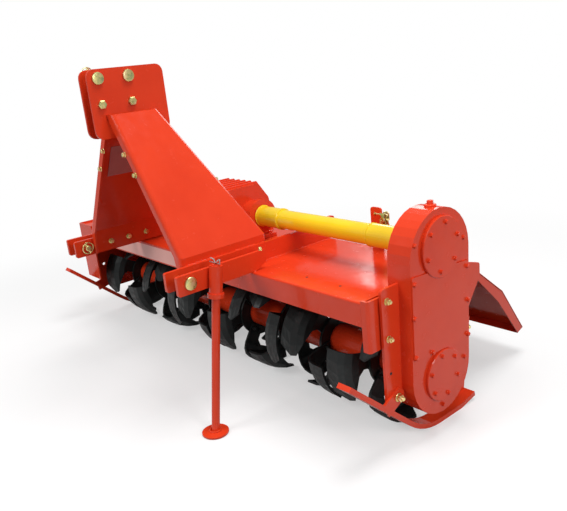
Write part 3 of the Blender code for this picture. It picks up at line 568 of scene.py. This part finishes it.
def dress_arms():
    for side, way in (("right", 1), ("left", -1)):
        front = Shape()
        for x, z in ARM_FRONT_BOLTS:
            share = (z - ARM_LOW_Z) / (ARM_TOP_Z - ARM_LOW_Z)
            spot = at(way * x, ARM_FRONT_LOW_Y + (ARM_FRONT_TOP_Y[side] - ARM_FRONT_LOW_Y) * share, z)
            front.bolt(spot, FORWARD, HEX_13)
        front.piece(f"arm_front_bolts_{side}", "root", ZINC)
        seam = Shape()
        long_bar, outer_bar = f"hitch_bar_long_{side}", f"hitch_bar_outer_{side}"
        for y0, y1 in ((-0.415, -0.330), (-0.235, -0.150)):
            begin, end = at(0, y0, ARM_SEAM_Z), at(0, y1, ARM_SEAM_Z)
            begin.x = end.x = low(long_bar).x if way > 0 else high(long_bar).x
            seam.weld(begin, end, ARM_WELD)
        for node, rear in ((long_bar, 0.172), (outer_bar, -0.216)):
            for face in (high(node).x, low(node).x):
                begin, end = at(0, -0.226, DECK_TOP), at(0, rear, DECK_TOP)
                begin.x = end.x = face
                seam.weld(begin, end, BAR_WELD)
        seam.piece(f"hitch_welds_{side}", "root", RED, 60)


def blank_label(name, corners, rise, look):
    """A thin blank film with four corners, standing a little off its surface."""
    shape = Shape()
    corners = [Vector(c) for c in corners]
    out = Vector(rise)
    shape.skin([corners, [c + out for c in corners]])
    return shape.piece(name, "root", look)


def add_labels():
    front = BEAM_FRONT - 0.0002
    z0, z1 = DECK_TOP - 0.064, DECK_TOP - 0.010
    x0, x1 = HITCH_X - 0.600, HITCH_X - 0.050
    strip = [(x0, front, z0), (x1, front, z0), (x1, front, z1), (x0 + 0.20, front, z1)]
    blank_label("beam_label", strip, (0, -0.0006, 0), LABEL)
    slope = (ARM_LOW_X - ARM_TOP_X) / (ARM_TOP_Z - ARM_LOW_Z)

    def arm_x(z):
        return -(ARM_LOW_X - (z - ARM_LOW_Z) * slope) + 0.0100

    corners = [(-0.385, 0.752), (-0.285, 0.752), (-0.292, 0.858), (-0.380, 0.858)]
    face = [at(arm_x(z), y, z) for y, z in corners]
    blank_label("arm_label", face, (0.0006, 0, 0), PALE_LABEL)


# Gearbox


BOX_HALF = 0.106
BOX_FRONT_Y, BOX_REAR_Y = -0.130, 0.096
BOX_RIBS = 6
BOX_FOOT_TOP = 0.470


def dress_gearbox():
    ribs = Shape()
    half = BOX_HALF
    y0, y1 = ROTOR.y + BOX_FRONT_Y, ROTOR.y + BOX_REAR_Y
    top = high("gearbox").z
    for i in range(BOX_RIBS):
        x = HITCH_X - half + 0.020 + i * (2 * half - 0.040) / (BOX_RIBS - 1)
        fin = [
            (y0 + 0.004, top - 0.070), (y0 - 0.004, top - 0.050), (y0 + 0.036, top + 0.006),
            (y1 - 0.036, top + 0.006), (y1 + 0.005, top - 0.052), (y1 - 0.003, top - 0.075),
        ]
        ribs.plate(fin, "X", x - 0.003, x + 0.003)
    steps = ((0.012, 0.010, DECK_TOP + 0.0005, BOX_FOOT_TOP), (0.004, 0.003, 0.475, 0.487))
    for sides, ends, bottom, height in steps:
        x0, x1 = HITCH_X - half - sides, HITCH_X + half + sides
        foot = [(x0, y0 - ends), (x1, y0 - ends), (x1, y1 + ends), (x0, y1 + ends)]
        ribs.plate(foot, "Z", bottom, height)
    soften(ribs.piece("gearbox_ribs", "root", RED), 0.0018, 3)
    bolts = Shape()
    for x in (-half - 0.004, half + 0.004):
        for y in (-0.115, 0.081):
            bolts.bolt(at(x, y, BOX_FOOT_TOP), UP, HEX_17)
    neck = Vector((high("gearbox").x - 0.014, DRIVE.y, DRIVE.z))
    for place in around(neck, LEFT, 0.052, 6, 20):
        bolts.bolt(place, LEFT, HEX_10)
    cap = Vector((low("gearbox_left_cap").x + 0.008, DRIVE.y, DRIVE.z))
    for place in around(cap, LEFT, 0.045, 6, 10):
        bolts.bolt(place - LEFT * 0.004, LEFT, HEX_10)
    front = Vector((HITCH_X, low("input_bearing_cap").y, middle("input_bearing_cap").z))
    for place in around(front, FORWARD, 0.042, 6, 30):
        bolts.bolt(place, FORWARD, HEX_11)
    bolts.piece("gearbox_bolts", "root", RED)
    plugs = Shape()
    breather = [(0, 0.014), (0.016, 0.014), (0.020, 0.010), (0.030, 0.010), (0.032, 0.007)]
    plugs.turned(at(-0.02, -0.045, top), UP, breather)
    plugs.bolt(at(0.045, -0.129, 0.520), FORWARD, HEX_16)
    plugs.piece("gearbox_plugs", "root", ZINC)


def dress_input_shaft():
    """Splines along the outer end of the input shaft."""
    shape = Shape()
    lowest, highest = low("input_shaft"), high("input_shaft")
    centre = middle("input_shaft")
    teeth = 6
    radius = (highest.x - lowest.x) / 2
    rings = []
    for y in (lowest.y + 0.001, lowest.y + 0.034):
        ring = []
        for i in range(teeth * 4):
            tall = radius + 0.0016 if (i // 2) % 2 == 0 else radius - 0.0015
            angle = 2 * pi * (i + (0.3 if i % 2 else -0.3)) / (teeth * 4)
            ring.append(Vector((centre.x + tall * cos(angle), y, centre.z + tall * sin(angle))))
        rings.append(ring)
    shape.skin(rings)
    shape.piece("input_splines", "input", STEEL)


def dress_drive_tube():
    bands = Shape()
    for x, wide, radius in ((0.1735, 0.004, 0.0385), (0.276, 0.010, 0.0372), (0.692, 0.006, 0.0370)):
        start = Vector((HITCH_X + x, DRIVE.y, DRIVE.z))
        profile = [
            (0, radius - 0.002), (0.001, radius), (wide - 0.001, radius), (wide, radius - 0.002),
        ]
        bands.turned(start, RIGHT, profile, 48)
    bands.piece("tube_bands", "root", YELLOW)


# Rotor


TINE_SETS = 8
TINE_SET_TWIST = radians(37.0)  # each set is turned this much from the last
TINES_A_SIDE = 3
TINE_BOLT_RING = 0.074


def dress_rotor():
    """Two nuts at the root of each tine."""
    for i in range(TINE_SETS):
        node = f"tine_set_{i + 1}"
        centre = Vector((middle(node).x, ROTOR.y, ROTOR.z))
        bolts = Shape()
        for side in (1, -1):
            turned = TINE_SET_TWIST * i + (pi / TINES_A_SIDE if side < 0 else 0.0)
            for k in range(TINES_A_SIDE):
                angle = turned + 2 * pi * k / TINES_A_SIDE
                for lag in (0.17, -0.17):
                    reach = Vector((0, -sin(angle + lag), cos(angle + lag))) * TINE_BOLT_RING
                    bolts.nut(centre + RIGHT * side * 0.0125 + reach, RIGHT * side, HEX_13)
        bolts.piece(f"tine_bolts_{i + 1}", "rotor", BLACK)


# Chains


CHAIN_LOOPS = 5
CHAIN_STEPS = 10


def chain_run(shape, points, link, wire):
    """Oval links along a line of points, each turned a quarter from the last."""
    for i in range(len(points) - 1):
        start, end = Vector(points[i]), Vector(points[i + 1])
        along = (end - start).normalized()
        side = along.orthogonal().normalized()
        if i % 2:
            side = along.cross(side)
        centre = (start + end) / 2
        half = (end - start).length / 2 + wire * 0.9
        loop = []
        for k in range(16):
            angle = 2 * pi * k / 16
            lean = half - link / 2
            stretch = lean if cos(angle) > 0 else -lean
            loop.append(centre + along * (stretch + link / 2 * cos(angle)) + side * (link / 2 * sin(angle)))
        shape.tube(loop, wire, 6, closed=True)


def dress_chains():
    """Each tailgate chain is gathered up: loops of links that hang from a peg through its bracket."""
    for side in ("right", "left"):
        node = f"chain_{side}"
        lowest, highest = low(node), high(node)
        bundle = Shape()
        centre = Vector((middle(node).x, middle(node).y, highest.z - 0.010))
        peg = [(0, 0.008), (0.003, 0.008), (0.0035, 0.0045), (0.050, 0.0045), (0.052, 0.0035)]
        bundle.turned(centre - RIGHT * 0.036, RIGHT, peg, 20)
        for strand in range(CHAIN_LOOPS):
            x = lowest.x + 0.003 + strand * (highest.x - lowest.x - 0.004) / (CHAIN_LOOPS - 1)
            deep = (highest.z - lowest.z) * (0.72 + 0.14 * (strand % 3))
            points = []
            for k in range(CHAIN_STEPS + 1):
                swing = pi * k / CHAIN_STEPS
                sideways = 0.011 * cos(swing) + 0.003 * sin(5.0 * swing + strand)
                across = x + 0.002 * sin(3.0 * swing)
                points.append((across, centre.y + sideways, centre.z + 0.005 - deep * sin(swing)))
            chain_run(bundle, points, 0.010, 0.0018)
        bundle.piece(f"{node}_links", "root", ZINC, replaced=(node,))


# Parking stand


STAND_LEG_R = 0.013
STAND_FOOT_R = 0.042


def dress_stand():
    """A spring clip across the leg's top, and the weld round its foot."""
    leg, leg_top = low("parking_stand"), high("parking_stand")
    clip = Shape()
    start = Vector((low("stand_socket").x - 0.006, leg_top.y - STAND_LEG_R, leg_top.z + 0.0010))
    points = [start + Vector((0.052 * i / 12, 0.0, 0.0)) for i in range(13)]
    bend = points[-1]
    for i in range(1, 22):
        share = i / 21
        back = 0.006 * sin(share * pi) - 0.046 * share
        sideways = 0.004 * sin(share * 3 * pi)
        rise = 0.006 + 0.006 * sin(share * 2.5 * pi)
        points.append(bend + Vector((back, sideways, rise)))
    clip.tube(points, 0.0020)
    clip.piece("stand_clip", "stand", STEEL)
    foot = Shape()
    centre = Vector(((leg.x + leg_top.x) / 2, leg.y + STAND_FOOT_R, 0.0115))
    ring = []
    for i in range(36):
        angle = 2 * pi * i / 36
        ring.append(centre + Vector((cos(angle), sin(angle), 0)) * 0.0165)
    foot.tube(ring, lambda i: 0.0026 + 0.0004 * (i % 2), closed=True)
    foot.piece("stand_foot_weld", "stand", RED, 60)


# Tailgate


def dress_tailgate():
    """End flanges and a rolled lip that stiffen the tailgate sheet."""
    ends = Shape()
    hinge, kink, tip = (0.2985, 0.3990), (0.462, 0.272), (0.590, 0.096)
    flange = [
        hinge, kink, tip, (tip[0] - 0.030, tip[1] - 0.010), (kink[0] - 0.026, kink[1] - 0.028),
        (hinge[0] + 0.004, hinge[1] - 0.028),
    ]
    flange = [(ROTOR.y + y - 0.001, z - 0.001) for y, z in flange]
    for x in (low("tailgate").x, high("tailgate").x - 0.004):
        ends.plate(flange, "X", x, x + 0.004)
    back = [(0, 0), (-0.003, -0.002), (-0.030, -0.014), (-0.028, -0.010)]
    lip = [(ROTOR.y + tip[0] + y, tip[1] + z) for y, z in back]
    ends.plate(lip, "X", low("tailgate").x + 0.002, high("tailgate").x - 0.002)
    soften(ends.piece("tailgate_flanges", "tailgate", RED), 0.001, 2)


def dress_deck():
    """Welds round the chain brackets and the gearbox, and along the deck's seam with the front beam."""
    seams = Shape()
    for side in ("right", "left"):
        node = f"chain_bracket_{side}"
        lowest, highest = low(node), high(node)
        for y in (lowest.y, highest.y):
            seams.weld((lowest.x + 0.002, y, DECK_TOP), (highest.x - 0.002, y, DECK_TOP), WELD)
    reach = BOX_HALF + 0.012
    for y in (BOX_FRONT_Y - 0.010, BOX_REAR_Y + 0.010):
        seams.weld(at(-reach, y, DECK_TOP), at(reach, y, DECK_TOP), WELD)
    begin = Vector((low("deck").x + 0.004, BEAM_FRONT + 0.0782, DECK_TOP - 0.0008))
    end = Vector((high("deck").x - 0.004, begin.y, begin.z))
    seams.weld(begin, end, SEAM_WELD)
    seams.piece("deck_welds", "root", RED, 60)


def dress_left_end():
    bolts = Shape()
    cap = Vector((low("left_end_plate").x - 0.009, ROTOR.y, ROTOR.z))
    for place in around(cap, LEFT, 0.053, 6, 15):
        bolts.bolt(place, LEFT, HEX_11)
    bolts.piece("left_cap_bolts", "root", ZINC)


# Studio

FLOOR_REACH = 40.0
FADE_START = 1.3
FADE_END = 2.6
FADE_LEAST = 0.45
WORLD_LIGHT = 0.42


def add_floor():
    """A white floor that keeps the shadow near the machine and fades into the background further out."""
    look = Look("studio_floor", (0.93, 0.93, 0.93), 0.9)
    out = look.tree.nodes["Material Output"]
    rays = look.node("ShaderNodeLightPath")
    direct = look.node("ShaderNodeMath", operation="MAXIMUM")
    look.link(rays.outputs["Is Camera Ray"], direct.inputs[0])
    look.link(rays.outputs["Is Glossy Ray"], direct.inputs[1])
    tone = look.ramp(direct.outputs[0], [(0.0, (0.18, 0.18, 0.18)), (1.0, (0.93, 0.93, 0.93))])
    look.drive("Base Color", tone)
    distance = look.node("ShaderNodeVectorMath", operation="LENGTH")
    look.link(look.place, distance.inputs[0])
    fade = look.node("ShaderNodeMapRange", interpolation_type="SMOOTHSTEP")
    fade.inputs["From Min"].default_value = FADE_START
    fade.inputs["From Max"].default_value = FADE_END
    fade.inputs["To Min"].default_value = FADE_LEAST
    look.link(distance.outputs["Value"], fade.inputs["Value"])
    seen = look.node("ShaderNodeMath", operation="MULTIPLY")
    look.link(fade.outputs["Result"], seen.inputs[0])
    look.link(rays.outputs["Is Camera Ray"], seen.inputs[1])
    white = look.node("ShaderNodeEmission", Strength=1.0)
    white.inputs["Color"].default_value = (1, 1, 1, 1)
    blend = look.node("ShaderNodeMixShader")
    look.link(seen.outputs[0], blend.inputs["Fac"])
    look.link(look.shader.outputs[0], blend.inputs[1])
    look.link(white.outputs[0], blend.inputs[2])
    look.link(blend.outputs[0], out.inputs["Surface"])
    mesh = bpy.data.meshes.new("studio_floor")
    corners = [(x * FLOOR_REACH, y * FLOOR_REACH, 0) for x, y in ((-1, -1), (1, -1), (1, 1), (-1, 1))]
    mesh.from_pydata(corners, [], [(0, 1, 2, 3)])
    mesh.materials.append(look.made)
    floor = bpy.data.objects.new("studio_floor", mesh)
    bpy.context.scene.collection.objects.link(floor)


def add_world():
    world = bpy.data.worlds.new("studio")
    world.use_nodes = True
    bpy.context.scene.world = world
    tree = world.node_tree
    soft = tree.nodes["Background"]
    soft.inputs["Color"].default_value = (1, 1, 1, 1)
    soft.inputs["Strength"].default_value = WORLD_LIGHT
    seen = tree.nodes.new("ShaderNodeBackground")
    seen.inputs["Strength"].default_value = 1.0
    seen.inputs["Color"].default_value = (1, 1, 1, 1)
    rays = tree.nodes.new("ShaderNodeLightPath")
    blend = tree.nodes.new("ShaderNodeMixShader")
    tree.links.new(rays.outputs["Is Camera Ray"], blend.inputs["Fac"])
    tree.links.new(soft.outputs[0], blend.inputs[1])
    tree.links.new(seen.outputs[0], blend.inputs[2])
    tree.links.new(blend.outputs[0], tree.nodes["World Output"].inputs["Surface"])


def add_light(name, place, size, watts):
    data = bpy.data.lights.new(name, "AREA")
    data.shape = "RECTANGLE"
    data.size, data.size_y = size
    data.energy = watts
    made = bpy.data.objects.new(name, data)
    bpy.context.scene.collection.objects.link(made)
    made.location = place
    made.rotation_euler = (Vector((0, 0, 0.45)) - Vector(place)).to_track_quat("-Z", "Y").to_euler()


def add_studio():
    add_world()
    add_floor()
    add_light("front_key", (-0.6, -3.4, 3.0), (1.6, 1.2), 62)
    add_light("top_fill", (0.9, 0.2, 3.6), (1.6, 1.2), 68)
    add_light("right_fill", (3.7, -0.6, 1.9), (1.0, 1.0), 40)
    add_light("back_rim", (-1.6, 3.4, 2.4), (1.8, 1.0), 24)


bpy.context.scene.view_settings.view_transform = "Standard"
add_camera()
dress_frame()
dress_gearcase()
dress_strip()
dress_hitch()
dress_arms()
add_labels()
dress_gearbox()
dress_input_shaft()
dress_drive_tube()
dress_rotor()
dress_chains()
dress_stand()
dress_tailgate()
dress_deck()
dress_left_end()
add_studio()
